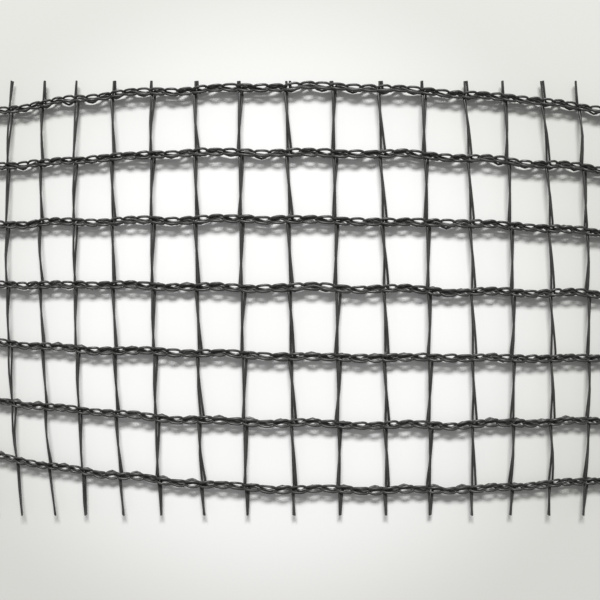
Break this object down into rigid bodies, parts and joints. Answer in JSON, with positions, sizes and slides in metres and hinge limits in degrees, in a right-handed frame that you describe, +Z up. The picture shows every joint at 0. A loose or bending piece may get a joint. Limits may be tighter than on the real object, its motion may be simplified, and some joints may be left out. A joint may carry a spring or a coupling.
{
  "type": "paintball net",
  "caption": "Cut piece of black knitted barrier net, lying flat: knitted chains one way, paired filament bars the other, open meshes between.",
  "frame": {"origin": "middle of the cut piece, on the surface it lies on", "axes": "+X along the knitted chains, +Y along the bars towards the short cut tails, +Z up off the surface"},
  "size_m": [0.085, 0.0538, 0.0012],
  "materials": {
    "net_filament": "black drawn polyethylene filament, satin with small bright glints"
  },
  "bodies": {
    "root": {"net": "net_filament"}
  },
  "joints": []
}
